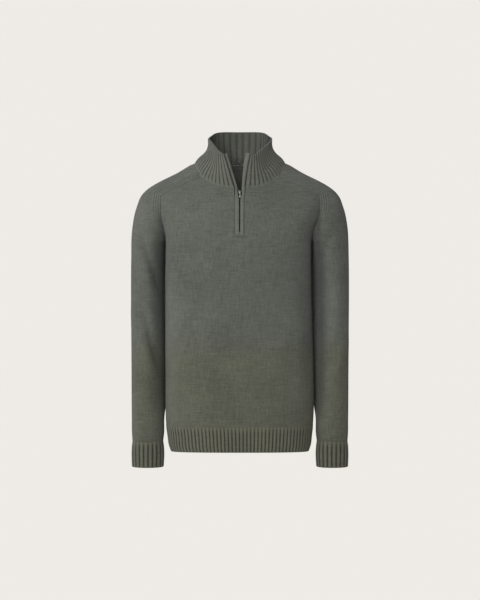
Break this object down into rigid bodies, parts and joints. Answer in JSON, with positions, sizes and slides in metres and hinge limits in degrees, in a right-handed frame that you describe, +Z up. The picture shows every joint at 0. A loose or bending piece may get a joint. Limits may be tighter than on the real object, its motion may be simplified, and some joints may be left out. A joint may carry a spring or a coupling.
{
  "type": "knitted quarter-zip pullover",
  "caption": "Long-sleeved knitted pullover, filled out as if worn, with ribbed funnel collar, short front zip with a swinging pull tab, ribbed cuffs and ribbed hem.",
  "frame": {"origin": "the middle of the neck, level with the shoulder seam where it meets the collar", "axes": "+Z up, -Y the wearer's front, +X the wearer's left"},
  "size_m": [0.5288, 0.2393, 0.8189],
  "materials": {
    "knit": "fine plain knit, matte grey green",
    "rib_knit": "ribbed knit, matte grey green",
    "zip_tape": "woven tape, near black",
    "dark_metal": "dark metal, satin"
  },
  "bodies": {
    "body": {"front": "knit", "back": "knit", "sleeve_right": "knit", "sleeve_left": "knit", "cuff_right": "rib_knit", "cuff_left": "rib_knit", "hem": "rib_knit", "collar": "rib_knit", "welt_right": "rib_knit", "welt_left": "rib_knit", "tape_right": "zip_tape", "tape_left": "zip_tape", "zip_bar": "rib_knit", "hanger_loop": "rib_knit", "slider": "dark_metal"},
    "pull_tab": {"pull_tab": "dark_metal"}
  },
  "joints": [
    {"name": "pull_tab_hinge", "type": "hinge", "parent": "body", "child": "pull_tab", "pos_m": [0, -0.10096, -0.07309], "axis": [-1, 0, 0], "range_deg": [0, 165]}
  ]
}
